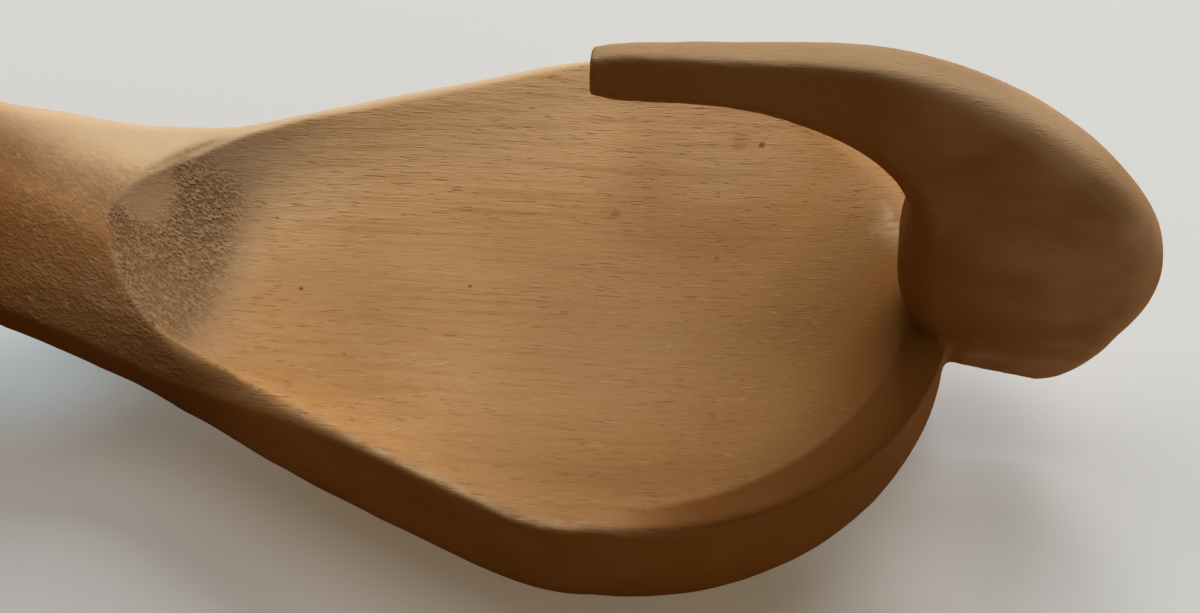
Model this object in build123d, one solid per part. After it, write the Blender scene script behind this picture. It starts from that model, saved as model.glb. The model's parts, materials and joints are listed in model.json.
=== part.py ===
from build123d import *
import math
import os
from dataclasses import dataclass

# Welsh love spoon, carved from one block of close-grained wood. A shallow egg-shaped bowl carries a
# comma-shaped hook on its front edge, and the stem arches back to a cage with loose balls, a chain of
# free links and a heart to hang it by. All sizes are millimetres.
#
# Frame: the spoon lies on the plane Z = 0 with the bowl open upwards. The origin is on that plane, under
# the centre of the bowl's round front. X runs along the spoon towards the hook, Y to the spoon's left.

# Bowl, outside
bowl_radius = 25.0
bowl_height = 13.7
base_rounding = 8.2
rim_rounding = 0.7
flank_angle = 23.5

# Bowl, hollow
hollow_depth = 5.8
rim_side = 1.1
rim_front = 3.2
rim_roll = 2.6
rim_heel = 6.0
heel_start = 31.0
heel_slope = 1.35
heel_softness = 7.0
heel_scoop = 4.0
heel_corner = 8.0
heel_end = 47.8
gouge_overrun = 1.0

# Neck and stem: the underside (keel) and the top (shoulder) leave the bowl level and then climb
stem_start = 55.0
stem_half_width = 9.4
stem_rounding = 7.6
stem_side = 0.6
far_facet_size = 4.8
near_facet_width = 8.4
near_facet_depth = 5.6
near_facet_start = 14.0
near_facet_run = 34.0
facet_bulge = 0.35
neck_softness = 1.6
keel_start = 22.0
keel_slope = 0.42
keel_softness = 16.0
shoulder_start = 33.0
shoulder_slope = 0.53
shoulder_softness = 10.0

# Handle arch and cage
arch_length = 45.0
cage_window = 8.0
cage_post = 4.0
cage_wall = 4.0
cage_rounding = 2.0
window_rounding = 1.5
ball_count = 3
ball_gap = 2.2
ball_clearance = 0.75

# Chain and the eye that holds it
link_count = 4
link_bar = 3.2
link_inner_length = 10.0
link_inner_width = 5.4
link_gap = 0.4
eye_thickness = 3.8
eye_wall = 3.2
eye_neck = 4.0
eye_clearance = 0.4
cap_length = 4.0
cap_rounding = 1.5
cap_half_width = 4.5

# Hanging heart
heart_thickness = 4.0
heart_eye_wall = 3.0
heart_neck = 6.0
heart_lobe_radius = 7.2
heart_lobe_spread = 6.6
heart_lobe_reach = 14.0
heart_length = 30.0
peg_hole_radius = 3.5
peg_hole_reach = 16.5


@dataclass(frozen=True)
class HookSection:
    """One section of the hook: its centre, the heading of the carved line there, and its size."""

    forward: float
    above: float
    heading: float
    depth: float
    thickness: float
    crown: float
    rounding: float


# The hook from its blunt tip to its foot. forward is measured from the bowl's front edge, above from the
# rim, heading in degrees from +X, depth in the plane of the hook, thickness across the spoon on the inside
# of the bend and crown across its back. rounding is the radius of the four corners.
hook_tip = HookSection(-28.0, 20.5, heading=0, depth=3.0, thickness=3.2, crown=1.8, rounding=0.5)
hook_arm = HookSection(-20.0, 21.3, heading=0, depth=3.8, thickness=4.3, crown=2.2, rounding=0.5)
hook_wrist = HookSection(-12.5, 21.2, heading=-4, depth=5.3, thickness=5.4, crown=2.8, rounding=0.7)
hook_shoulder = HookSection(-5.5, 19.4, heading=-22, depth=8.3, thickness=6.8, crown=3.6, rounding=1.2)
hook_elbow = HookSection(0.1, 15.5, heading=-52, depth=12.3, thickness=8.2, crown=4.6, rounding=2.0)
hook_lobe = HookSection(4.7, 6.6, heading=-80, depth=19.4, thickness=9.4, crown=5.6, rounding=2.7)
hook_heel = HookSection(5.0, -0.1, heading=-92, depth=15.8, thickness=9.0, crown=5.6, rounding=2.6)
hook_ankle = HookSection(3.9, -4.1, heading=-97, depth=13.2, thickness=5.8, crown=4.2, rounding=1.7)
hook_foot = HookSection(4.6, -6.7, heading=-104, depth=6.2, thickness=2.8, crown=2.2, rounding=0.9)
hook_curve = [hook_tip, hook_arm, hook_wrist, hook_shoulder, hook_elbow, hook_lobe, hook_heel]
hook_bevel = [hook_heel, hook_ankle, hook_foot]

# Counts of the sections that the lofted forms pass through
stem_stations = 8
arch_stations = 8
hollow_stations = 7

# Values that follow from the sizes above
stem_x = -stem_start
cage_side = cage_window + 2 * cage_post
cage_height = cage_side / 2
ball_radius = cage_window / 2 * math.sqrt(2) - ball_clearance
window_length = ball_count * 2 * ball_radius + (ball_count + 1) * ball_gap
cage_x = stem_x - arch_length
window_x = cage_x - cage_wall
cage_end_x = window_x - window_length - cage_wall

link_ring_radius = (link_inner_width + link_bar) / 2
link_outer_half_width = link_inner_width / 2 + link_bar
link_pitch = link_inner_length - link_gap


def eye_radius(thickness):
    """Radius of a hole that lets a link's rounded end pass a plate of this thickness and swing in it."""
    half = thickness / 2
    sag = link_ring_radius - math.sqrt(link_ring_radius**2 - half**2)
    lean = math.asin(half / link_ring_radius)
    return sag + link_bar / 2 / math.cos(lean) + eye_clearance


eye_hole_radius = eye_radius(eye_thickness)
eye_outer_radius = eye_hole_radius + eye_wall
chain_height = max(link_outer_half_width, eye_outer_radius)
eye_x = cage_end_x - cap_length - eye_neck - eye_outer_radius

heart_hole_radius = eye_radius(heart_thickness)
heart_eye_radius = heart_hole_radius + heart_eye_wall
last_link_x = eye_x - (link_count - 1) * link_pitch
heart_x = last_link_x - link_inner_length - link_bar + link_ring_radius


def ease(distance, slope, softness):
    """Height gained by a rise that starts level and bends into a straight slope."""
    if distance <= 0:
        return 0.0
    return slope * distance**2 / (distance + softness)


def ease_slope(distance, slope, softness):
    """Steepness of that rise at the same distance."""
    if distance <= 0:
        return 0.0
    return slope * distance * (distance + 2 * softness) / (distance + softness) ** 2


def half_width(x):
    """Half the spoon's width in plan: a round front, straight flanks and a soft waist into the stem."""
    lean = math.radians(flank_angle)
    if x >= -bowl_radius * math.sin(lean):
        return math.sqrt(bowl_radius**2 - x**2)
    flank = bowl_radius * math.cos(lean) + math.tan(lean) * (x + bowl_radius * math.sin(lean))
    return stem_half_width + neck_softness * math.log1p(math.exp((flank - stem_half_width) / neck_softness))


def keel(x):
    """Height of the underside along the middle of the spoon."""
    return ease(-x - keel_start, keel_slope, keel_softness)


def shoulder(x):
    """Height of the top along the middle of the spoon, before it is hollowed."""
    return bowl_height + ease(-x - shoulder_start, shoulder_slope, shoulder_softness)


def blend(start, end, share):
    """Value that lies this share of the way from start to end."""
    return start + (end - start) * share


def rim(x):
    """Width of the rim left beside the hollow: thin along the flanks and broad round the heel's corners."""
    behind = max(-x - heel_start, 0)
    return blend(rim_side, rim_heel, behind**2 / (behind**2 + heel_corner**2))


@dataclass(frozen=True)
class Cut:
    """What the knife takes off an upper corner. A bulge of 1 leaves it round, and a bulge of 0 flat."""

    width: float
    depth: float
    bulge: float

    def towards(self, other, share):
        """Cut that lies this share of the way to another."""
        width, depth = blend(self.width, other.width, share), blend(self.depth, other.depth, share)
        return Cut(width, depth, blend(self.bulge, other.bulge, share))

    def deep(self, share):
        """The same cut with this share of its depth."""
        return Cut(self.width, self.depth * share, self.bulge)

    def corner(self, half, top):
        """Three points of the cut on the +Y side, from the side up to the top."""
        middle = blend(0.5, math.sqrt(0.5), self.bulge)
        inner, low = half - self.width, top - self.depth
        return (half, low), (inner + middle * self.width, low + middle * self.depth), (inner, top)


rim_edge = Cut(rim_rounding, rim_rounding, 1)
far_facet = Cut(far_facet_size, far_facet_size, facet_bulge)
near_facet = Cut(near_facet_width, near_facet_depth, facet_bulge)
cage_edge = Cut(cage_rounding, cage_rounding, 1)


def section(x, half, bottom, top, bottom_radius, far, near):
    """Upright section across the spoon at x: a box with round corners below and cut corners above."""
    low = half - bottom_radius
    far_corner = far.corner(half, top)
    near_corner = [(-y, z) for y, z in reversed(near.corner(half, top))]
    edges = [
        Line((-low, bottom), (low, bottom)),
        CenterArc((low, bottom + bottom_radius), bottom_radius, -90, 90),
        Line((half, bottom + bottom_radius), far_corner[0]),
        ThreePointArc(*far_corner),
        Line(far_corner[2], near_corner[0]),
        ThreePointArc(*near_corner),
        Line(near_corner[2], (-half, bottom + bottom_radius)),
        CenterArc((-low, bottom + bottom_radius), bottom_radius, 180, 90),
    ]
    return Plane.YZ.offset(x) * make_face(edges)


def squeeze(tall, bottom_radius, far, near):
    """Share of the corners' heights that leaves a strip of upright side between them."""
    return min(1, (tall - stem_side) / (bottom_radius + max(far.depth, near.depth)))


def stem_section(x):
    """Section of the bowl's flank, neck or stem at x."""
    bottom, top = keel(x), shoulder(x)
    climbed = (top - bowl_height) / (shoulder(stem_x) - bowl_height)
    behind = min(max((-x - near_facet_start) / near_facet_run, 0), 1)
    far = rim_edge.towards(far_facet, climbed)
    near = rim_edge.towards(near_facet, 3 * behind**2 - 2 * behind**3)
    bottom_radius = blend(base_rounding, stem_rounding, -x / stem_start)
    share = squeeze(top - bottom, bottom_radius, far, near)
    return section(x, half_width(x), bottom, top, bottom_radius * share, far.deep(share), near.deep(share))


def arch_section(share):
    """Section of the handle this share of the way along the arch from the stem to the cage."""
    start_height = (keel(stem_x) + shoulder(stem_x)) / 2
    start_tall = shoulder(stem_x) - keel(stem_x)
    keel_climb = ease_slope(stem_start - keel_start, keel_slope, keel_softness)
    shoulder_climb = ease_slope(stem_start - shoulder_start, shoulder_slope, shoulder_softness)
    rise = (share**3 - 2 * share**2 + share) * arch_length * (keel_climb + shoulder_climb) / 2
    settle = 3 * share**2 - 2 * share**3
    centre = blend(start_height, cage_height, settle) + rise
    tall = blend(start_tall, cage_side, settle)
    half = blend(half_width(stem_x), cage_side / 2, settle)
    kept = squeeze(start_tall, stem_rounding, far_facet, near_facet)
    bottom_radius = blend(stem_rounding * kept, cage_rounding, settle)
    far = far_facet.deep(kept).towards(cage_edge, settle)
    near = near_facet.deep(kept).towards(cage_edge, settle)
    bottom, top = centre - tall / 2, centre + tall / 2
    return section(stem_x - share * arch_length, half, bottom, top, bottom_radius, far, near)


def block():
    """The spoon before it is hollowed: round front, flanks, neck, stem and arch in one."""
    low, high = bowl_radius - base_rounding, bowl_radius - rim_rounding
    profile = make_face(
        [
            Line((0, 0), (low, 0)),
            CenterArc((low, base_rounding), base_rounding, -90, 90),
            Line((bowl_radius, base_rounding), (bowl_radius, bowl_height - rim_rounding)),
            CenterArc((high, bowl_height - rim_rounding), rim_rounding, 0, 90),
            Line((high, bowl_height), (0, bowl_height)),
            Line((0, bowl_height), (0, 0)),
        ]
    )
    front = revolve(Plane.YZ * profile, Axis((0, 0, 0), (0, 0, -1)), 180)
    sections = [stem_section(stem_x * i / stem_stations) for i in range(stem_stations + 1)]
    sections += [arch_section(i / arch_stations) for i in range(1, arch_stations + 1)]
    return front + loft(sections)


def hollow():
    """What the gouge takes out: a shallow dish with a round front and a steep scooped heel."""
    front_x = -(rim_front - rim_side)
    floor = bowl_height - hollow_depth
    clear_top = bowl_height + hook_tip.above
    front_half = bowl_radius - rim_side

    def dish_section(x):
        low = floor + ease(-x - heel_start, heel_slope, heel_softness)
        rise = max(bowl_height - low, heel_scoop)
        half = front_half if x >= front_x else half_width(x) - rim(x)
        radius = (half**2 + rise**2) / (2 * rise)
        reach = rise + gouge_overrun
        side = math.sqrt(reach * (2 * radius - reach))
        edges = [
            ThreePointArc((-side, low + reach), (0, low), (side, low + reach)),
            Line((side, low + reach), (side, clear_top)),
            Line((side, clear_top), (-side, clear_top)),
            Line((-side, clear_top), (-side, low + reach)),
        ]
        return Plane.YZ.offset(x) * make_face(edges)

    stations = [blend(front_x, -heel_end, i / hollow_stations) for i in range(hollow_stations + 1)]
    rear = loft([dish_section(x) for x in stations])
    left_side = Pos(bowl_radius, clear_top / 2) * Rectangle(2 * bowl_radius, clear_top)
    half_dish = dish_section(front_x) & (Plane.YZ.offset(front_x) * left_side)
    front = revolve(half_dish, Axis((front_x, 0, 0), (0, 0, -1)), 180)
    return front + rear


def rounded_face(corners, radius):
    """Straight-sided face with its corners rounded by arcs."""
    points = [Vector(*corner) for corner in corners]
    bends = []
    for i, corner in enumerate(points):
        back = (points[i - 1] - corner).normalized()
        ahead = (points[(i + 1) % len(points)] - corner).normalized()
        half_turn = math.acos(back.dot(ahead)) / 2
        reach = radius / math.tan(half_turn)
        sink = radius / math.sin(half_turn) - radius
        middle = corner + (back + ahead).normalized() * sink
        bends.append((corner + back * reach, middle, corner + ahead * reach))
    edges = []
    for i, bend in enumerate(bends):
        following = bends[(i + 1) % len(bends)]
        edges.append(ThreePointArc(*bend))
        edges.append(Line(bend[2], following[0]))
    return make_face(edges)


def front_roll():
    """The crescent that the knife takes off the outer edge of the wide front rim."""
    top, low = bowl_height, bowl_height - rim_roll
    inner, outer = bowl_radius, bowl_radius + rim_roll
    profile = make_face(
        [
            CenterArc((inner, low), rim_roll, 0, 90),
            Line((inner, top), (inner, top + rim_roll)),
            Line((inner, top + rim_roll), (outer, top + rim_roll)),
            Line((outer, top + rim_roll), (outer, low)),
        ]
    )
    front_x = -(rim_front - rim_side)
    axis = Axis((front_x, 0, 0), (0, 0, -1))
    return revolve(Plane.YZ.offset(front_x) * profile, axis, 180)


def hook_face(spot):
    """Face of one hook section, square to the carved line and narrower at its back."""
    turn = math.radians(spot.heading)
    plane = Plane(
        origin=(bowl_radius + spot.forward, 0, bowl_height + spot.above),
        x_dir=(-math.sin(turn), 0, math.cos(turn)),
        z_dir=(math.cos(turn), 0, math.sin(turn)),
    )
    back, inside = spot.depth / 2, -spot.depth / 2
    crown, side = spot.crown / 2, spot.thickness / 2
    corners = [(back, crown), (inside, side), (inside, -side), (back, -crown)]
    return plane * rounded_face(corners, spot.rounding)


def hook():
    """The comma-shaped hook, with a bevelled foot below the line of the rim."""
    curve = loft([hook_face(spot) for spot in hook_curve])
    foot = loft([hook_face(spot) for spot in hook_bevel])
    return curve + foot


def cage():
    """Square cage with a window in each side, closed by a tapered cap and an upright eye."""
    length = cage_x - cage_end_x
    square = RectangleRounded(cage_side, cage_side, cage_rounding)
    frame = Pos((cage_x + cage_end_x) / 2, 0, cage_height) * extrude(Plane.YZ * square, length / 2, both=True)
    window_centre = Pos(window_x - window_length / 2, 0, cage_height)
    window = RectangleRounded(window_length, cage_window, window_rounding)
    for plane in (Plane.XY, Plane.XZ):
        frame -= window_centre * extrude(plane * window, cage_side, both=True)
    cap_tall = 2 * min(chain_height, cage_height)
    cap_faces = [
        Plane.YZ.offset(cage_end_x) * Pos(0, cage_height) * square,
        Plane.YZ.offset(cage_end_x - cap_length)
        * Pos(0, chain_height)
        * RectangleRounded(2 * cap_half_width, cap_tall, cap_rounding),
    ]
    eye_reach = cage_end_x - eye_x
    plate = Pos(eye_x, chain_height) * (
        Circle(eye_outer_radius) + Pos(eye_reach / 2, 0) * Rectangle(eye_reach, 2 * eye_outer_radius)
    )
    plate -= Pos(eye_x, chain_height) * Circle(eye_hole_radius)
    eye = extrude(Plane.XZ * plate, eye_thickness / 2, both=True)
    return frame + loft(cap_faces) + eye


def carved_body():
    """The whole carved block: bowl, hook, stem, arch, cage and end eye."""
    return block() - hollow() - front_roll() + hook() + cage()


def cage_ball(index):
    """One loose ball in the cage, counted from the bowl."""
    x = window_x - ball_gap - ball_radius - index * (2 * ball_radius + ball_gap)
    return Pos(x, 0, cage_height) * Sphere(ball_radius)


def chain_link(index):
    """One free link, counted from the eye. Odd ones lie flat and even ones stand on edge."""
    near = eye_x - index * link_pitch
    straight = link_inner_length - link_inner_width
    bar = Plane.XZ * Circle(link_bar / 2)
    half_ring = revolve(Pos(link_ring_radius, 0, 0) * bar, Axis.Z, 180)
    ring = Part()
    for side in (-1, 1):
        ring += Pos(side * straight / 2, 0, 0) * Rot(0, 0, -90 * side) * half_ring
        ring += Pos(0, side * link_ring_radius, 0) * Rot(0, 90, 0) * Cylinder(link_bar / 2, straight)
    centre = near - straight / 2 - link_ring_radius
    return Pos(centre, 0, chain_height) * Rot(90 * (index % 2), 0, 0) * ring


def heart_tilt():
    """Angle at which the heart hangs from the chain with its point on the table."""
    half = heart_thickness / 2
    reach = math.hypot(heart_length, half)
    return math.degrees(math.asin(chain_height / reach) - math.atan2(half, heart_length))


def hanging_heart():
    """Flat heart with an eye for the last link and a round hole for a wall peg."""
    eye_centre = Pos(-link_ring_radius, 0)
    lobes = [Pos(-heart_lobe_reach, side * heart_lobe_spread) * Circle(heart_lobe_radius) for side in (-1, 1)]
    reach = heart_length - heart_lobe_reach
    spread = math.hypot(reach, heart_lobe_spread)
    turn = math.pi + math.atan2(heart_lobe_spread, reach) - math.acos(heart_lobe_radius / spread)
    side_x = -heart_lobe_reach + heart_lobe_radius * math.cos(turn)
    side_y = heart_lobe_spread + heart_lobe_radius * math.sin(turn)
    point = make_face(
        Polyline((-heart_length, 0), (side_x, side_y), (-heart_lobe_reach, 0), (side_x, -side_y), close=True)
    )
    neck_length = heart_lobe_reach - link_ring_radius
    neck = Pos(-link_ring_radius - neck_length / 2, 0) * Rectangle(neck_length, heart_neck)
    outline = lobes[0] + lobes[1] + point + neck + eye_centre * Circle(heart_eye_radius)
    outline -= eye_centre * Circle(heart_hole_radius)
    outline -= Pos(-peg_hole_reach, 0) * Circle(peg_hole_radius)
    plate = extrude(outline, heart_thickness / 2, both=True)
    return Pos(heart_x, 0, chain_height) * Rot(0, -heart_tilt(), 0) * plate


def main():
    """Build every piece and write each to its own file."""
    pieces = {"carved_body": carved_body(), "hanging_heart": hanging_heart()}
    for i in range(ball_count):
        pieces[f"cage_ball_{i + 1}"] = cage_ball(i)
    for i in range(link_count):
        pieces[f"chain_link_{i + 1}"] = chain_link(i)
    os.makedirs("parts", exist_ok=True)
    for name, piece in pieces.items():
        export_step(piece, f"parts/{name}.step")


main()
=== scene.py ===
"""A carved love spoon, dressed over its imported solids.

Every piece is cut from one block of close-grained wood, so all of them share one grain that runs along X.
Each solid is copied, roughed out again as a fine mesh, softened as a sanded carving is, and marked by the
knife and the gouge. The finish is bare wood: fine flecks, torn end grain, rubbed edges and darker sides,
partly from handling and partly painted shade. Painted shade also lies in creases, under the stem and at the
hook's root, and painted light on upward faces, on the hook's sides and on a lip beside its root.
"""

import functools
import json
import logging
import math
from dataclasses import dataclass
from enum import Enum
from typing import Mapping, Sequence, Union

import bpy
import numpy as np
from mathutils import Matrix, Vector


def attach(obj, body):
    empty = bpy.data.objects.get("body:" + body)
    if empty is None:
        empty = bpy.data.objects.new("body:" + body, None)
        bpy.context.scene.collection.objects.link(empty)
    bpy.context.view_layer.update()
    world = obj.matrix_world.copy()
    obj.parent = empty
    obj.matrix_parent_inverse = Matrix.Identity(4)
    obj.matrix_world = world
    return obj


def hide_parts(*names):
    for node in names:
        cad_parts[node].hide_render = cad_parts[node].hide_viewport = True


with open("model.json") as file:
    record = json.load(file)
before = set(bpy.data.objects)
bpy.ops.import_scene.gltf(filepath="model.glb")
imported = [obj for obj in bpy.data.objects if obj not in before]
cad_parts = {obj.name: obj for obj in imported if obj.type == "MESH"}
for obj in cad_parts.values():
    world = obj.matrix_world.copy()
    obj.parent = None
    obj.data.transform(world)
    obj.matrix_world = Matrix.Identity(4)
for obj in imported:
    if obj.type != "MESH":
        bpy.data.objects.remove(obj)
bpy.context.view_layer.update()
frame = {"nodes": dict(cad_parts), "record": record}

log = logging.getLogger("love_spoon")

MM = 0.001
PER_MM = 1.0 / MM
BODY_NODE = "carved_body"
GROUP = "marks"
WEIGHT_STEPS = 20

Span = tuple[float, float]
Triple = tuple[float, float, float]
Colour = Triple
Value = Union["Wire", float, Sequence[float]]


class Mask(Enum):
    """Names of the point attributes that tell the wood what the knife and the hand have done there, and where
    shade and light are painted.
    """

    HEEL = "heel_grain"
    # Sides darkened partly by handling, partly with painted shade.
    OUTSIDE = "handled_side"
    EDGE = "worn_edge"
    # Painted shade.
    PAINTED_SHADE = "crevice"
    TORN = "torn_grain"
    # Upward faces made paler: partly rubbed, partly painted light.
    TOP = "worn_top"
    # Pale fibres on the rim's crest, and a painted highlight on the lip beside the hook's root.
    RIM = "fibrous_rim"
    # Painted side light.
    SIDE_LIGHT = "dusky_side"


class Texture(Enum):
    """The kinds of relief that are pressed into a mesh."""

    SCALLOPS = "VORONOI"
    RIPPLES = "CLOUDS"


# Shader maths


class Wire:
    """One output socket, with arithmetic that adds the Math nodes it needs."""

    def __init__(self, graph: "Graph", socket: bpy.types.NodeSocket) -> None:
        """Keep the graph that the socket belongs to.

        Args:
            graph: The node graph that new nodes are added to.
            socket: The output socket that carries the value.
        """
        self.graph = graph
        self.socket = socket

    def __add__(self, other: Value) -> "Wire":
        """Sum."""
        return self.graph.math("ADD", self, other)

    def __radd__(self, other: Value) -> "Wire":
        """Sum, with the plain number first."""
        return self.graph.math("ADD", other, self)

    def __sub__(self, other: Value) -> "Wire":
        """Difference."""
        return self.graph.math("SUBTRACT", self, other)

    def __rsub__(self, other: Value) -> "Wire":
        """Difference, with the plain number first."""
        return self.graph.math("SUBTRACT", other, self)

    def __mul__(self, other: Value) -> "Wire":
        """Product."""
        return self.graph.math("MULTIPLY", self, other)

    def __rmul__(self, other: Value) -> "Wire":
        """Product, with the plain number first."""
        return self.graph.math("MULTIPLY", other, self)

    def between(self, low: float, high: float) -> "Wire":
        """Smooth step of this value.

        Args:
            low: The value that gives 0.
            high: The value that gives 1. It may lie below low.

        Returns:
            A wire from 0 to 1.
        """
        settings = {"interpolation_type": "SMOOTHSTEP", "clamp": True}
        return self.graph.add("ShaderNodeMapRange", settings, {0: self, 1: low, 2: high, 3: 0.0, 4: 1.0})

    def most(self, other: Value) -> "Wire":
        """The larger of the two values."""
        return self.graph.math("MAXIMUM", self, other)


class Graph:
    """A material's nodes."""

    def __init__(self, name: str) -> None:
        """Start an empty material.

        Args:
            name: The material's name.
        """
        self.material = bpy.data.materials.new(name)
        self.material.use_nodes = True
        self.tree = self.material.node_tree
        self.tree.nodes.clear()

    def add(
        self,
        kind: str,
        settings: Mapping[str, object] | None = None,
        inputs: Mapping[Union[str, int], Value] | None = None,
        output: Union[str, int] = 0,
    ) -> Wire:
        """Add one node.

        Args:
            kind: The node's type.
            settings: Properties of the node, set before its sockets.
            inputs: Socket names or numbers, with the values or wires that they take.
            output: The output that is returned.

        Returns:
            The chosen output.
        """
        node = self.tree.nodes.new(kind)
        for key, setting in (settings or {}).items():
            setattr(node, key, setting)
        for key, value in (inputs or {}).items():
            if isinstance(value, Wire):
                self.tree.links.new(value.socket, node.inputs[key])
            else:
                node.inputs[key].default_value = value
        return Wire(self, node.outputs[output])

    def math(self, operation: str, first: Value, second: Value) -> Wire:
        """Add a Math node for two values."""
        return self.add("ShaderNodeMath", {"operation": operation}, {0: first, 1: second})

    def vector(self, operation: str, first: Value, second: Value) -> Wire:
        """Add a Vector Math node for two vectors."""
        return self.add("ShaderNodeVectorMath", {"operation": operation}, {0: first, 1: second})

    def mix(self, share: Value, first: Value, second: Value) -> Wire:
        """Blend two colours.

        Args:
            share: 0 gives the first colour and 1 the second.
            first: A colour or a wire.
            second: A colour or a wire.

        Returns:
            The blended colour.
        """
        inputs = {0: share, 6: opaque(first), 7: opaque(second)}
        return self.add("ShaderNodeMix", {"data_type": "RGBA"}, inputs, 2)

    def noise(self, place: Wire, pattern: "Pattern") -> Wire:
        """Soft noise, stretched along the three axes.

        Args:
            place: The point, in millimetres.
            pattern: The noise's cells, its finer octaves and the part of it that is kept.

        Returns:
            A wire from 0 to 1.
        """
        stretched = self.vector("MULTIPLY", place, pattern.scale)
        inputs = {
            "Vector": stretched,
            "Scale": 1.0,
            "Detail": pattern.detail,
            "Roughness": pattern.roughness,
        }
        wire = self.add("ShaderNodeTexNoise", None, inputs)
        return wire.between(*pattern.kept) if pattern.kept else wire

    def part(self, place: Wire, axis: str) -> Wire:
        """One coordinate of a point."""
        return self.add("ShaderNodeSeparateXYZ", None, {0: place}, axis)

    def mask(self, name: Mask) -> Wire:
        """Read one of the piece's own point attributes."""
        return self.add("ShaderNodeAttribute", {"attribute_name": name.value}, None, "Fac")

    def finish(self, shader: Wire) -> bpy.types.Material:
        """Join the shader to the material's surface, and return the material."""
        output = self.tree.nodes.new("ShaderNodeOutputMaterial")
        self.tree.links.new(shader.socket, output.inputs["Surface"])
        return self.material


def opaque(colour: Value) -> Value:
    """A plain colour with an alpha of 1, or the wire as it is."""
    return colour if isinstance(colour, Wire) else (*colour, 1.0)


# Finishes


@dataclass(frozen=True)
class Pattern:
    """Soft noise: cells per millimetre along X, Y and Z, finer octaves, and the values that give 0 and 1."""

    scale: Triple
    detail: float = 2.0
    roughness: float = 0.5
    kept: Span | None = None


DASHES = Pattern((0.7, 6.0, 6.0), 1.0, kept=(0.6, 0.72))
DASH_PATCHES = Pattern((0.06, 0.12, 0.12), kept=(0.3, 0.65))
SLIVERS = Pattern((0.6, 5.6, 5.6), 1.0, kept=(0.62, 0.73))
STREAKS = Pattern((0.07, 2.3, 2.3), 3.0, 0.6)
FIBRES = Pattern((0.62, 8.0, 8.0), 2.0, 0.6)
TUFTS = Pattern((0.55, 3.4, 3.0), 2.0, 0.6, (0.56, 0.7))
PIT_ROWS = Pattern((0.7, 1.6, 1.4), 3.0, 0.65, (0.3, 0.6))
BLOTCHES = Pattern((0.035, 0.07, 0.07), 3.0, kept=(0.32, 0.68))
CLOUDS = Pattern((0.09, 0.16, 0.16), 3.0)
RUBBING = Pattern((0.5, 1.2, 1.2), 3.0, 0.6, (0.35, 0.6))


@dataclass(frozen=True)
class Shares:
    """How strongly each mark tints the wood, from 0 to 1."""

    fibres: float = 0.16
    flecks: float = 0.4
    slivers: float = 0.15
    streaks: float = 0.38
    sap: float = 0.7
    end_grain: float = 0.7
    torn: float = 0.85
    pits: float = 0.55
    tufts: float = 0.3
    # The darker sides: partly handling, partly painted shade.
    handled_and_shaded: float = 0.96
    rubbed: float = 0.8
    edge: float = 0.55
    rim: float = 0.5
    # Painted shade.
    crevice: float = 0.85
    deepened: float = 0.5


@dataclass(frozen=True)
class Patchiness:
    """How strongly a worn tone shows at the least, and what the clouds in it add."""

    least: float
    added: float

    def of(self, cloud: Wire) -> Wire:
        """The tone's strength at each point."""
        return self.least + self.added * cloud


@dataclass(frozen=True)
class Heights:
    """How far each mark stands up or lies deep, in parts of the wood's relief."""

    fibres: float = 0.55
    slivers: float = 0.3
    flecks: float = 0.5
    streaks: float = 0.25
    pits: float = 2.4
    tufts: float = 0.8


@dataclass(frozen=True)
class Spot:
    """A round mark in the bowl's floor, in millimetres: a pore, a pin knot, or a patch of darker or paler
    tone that is partly the wood's own and partly painted shade and light.
    """

    x: float
    y: float
    radius: float
    strength: float


FLOOR_SPECKS = (
    Spot(-29.7, 6.4, 0.14, 0.6),
    Spot(-26.5, 0.15, 0.2, 0.95),
    Spot(-13.05, 2.0, 0.18, 0.9),
    Spot(-21.4, -7.1, 0.16, 0.6),
    Spot(6.4, 6.5, 0.22, 0.55),
    Spot(-2.3, 10.5, 0.5, 0.4),
    Spot(9.1, 16.9, 0.3, 0.8),
    Spot(7.3, 17.2, 0.8, 0.25),
)
# Darker patches, partly the wood's tone and partly painted shade; the one beside the hook's root is painted
# shadow of the hook.
DARK_PATCHES = (
    Spot(-25.0, -5.0, 12.0, 0.5),
    Spot(4.0, 11.5, 8.0, 0.36),
    Spot(18.5, 2.0, 8.0, 0.6),
)
# Paler patches, partly the wood's tone and partly painted light.
FAIR_PATCHES = (
    Spot(-29.5, 11.0, 7.0, 0.8),
    Spot(-34.0, 4.0, 4.5, 0.6),
    Spot(-4.0, -4.0, 13.0, 0.16),
    Spot(7.0, 18.0, 7.0, 0.4),
)
FLOOR_TOP = 12.6
FLOOR_FADE = 1.0
SPOT_EDGE = (1.3, 0.4)


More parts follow.
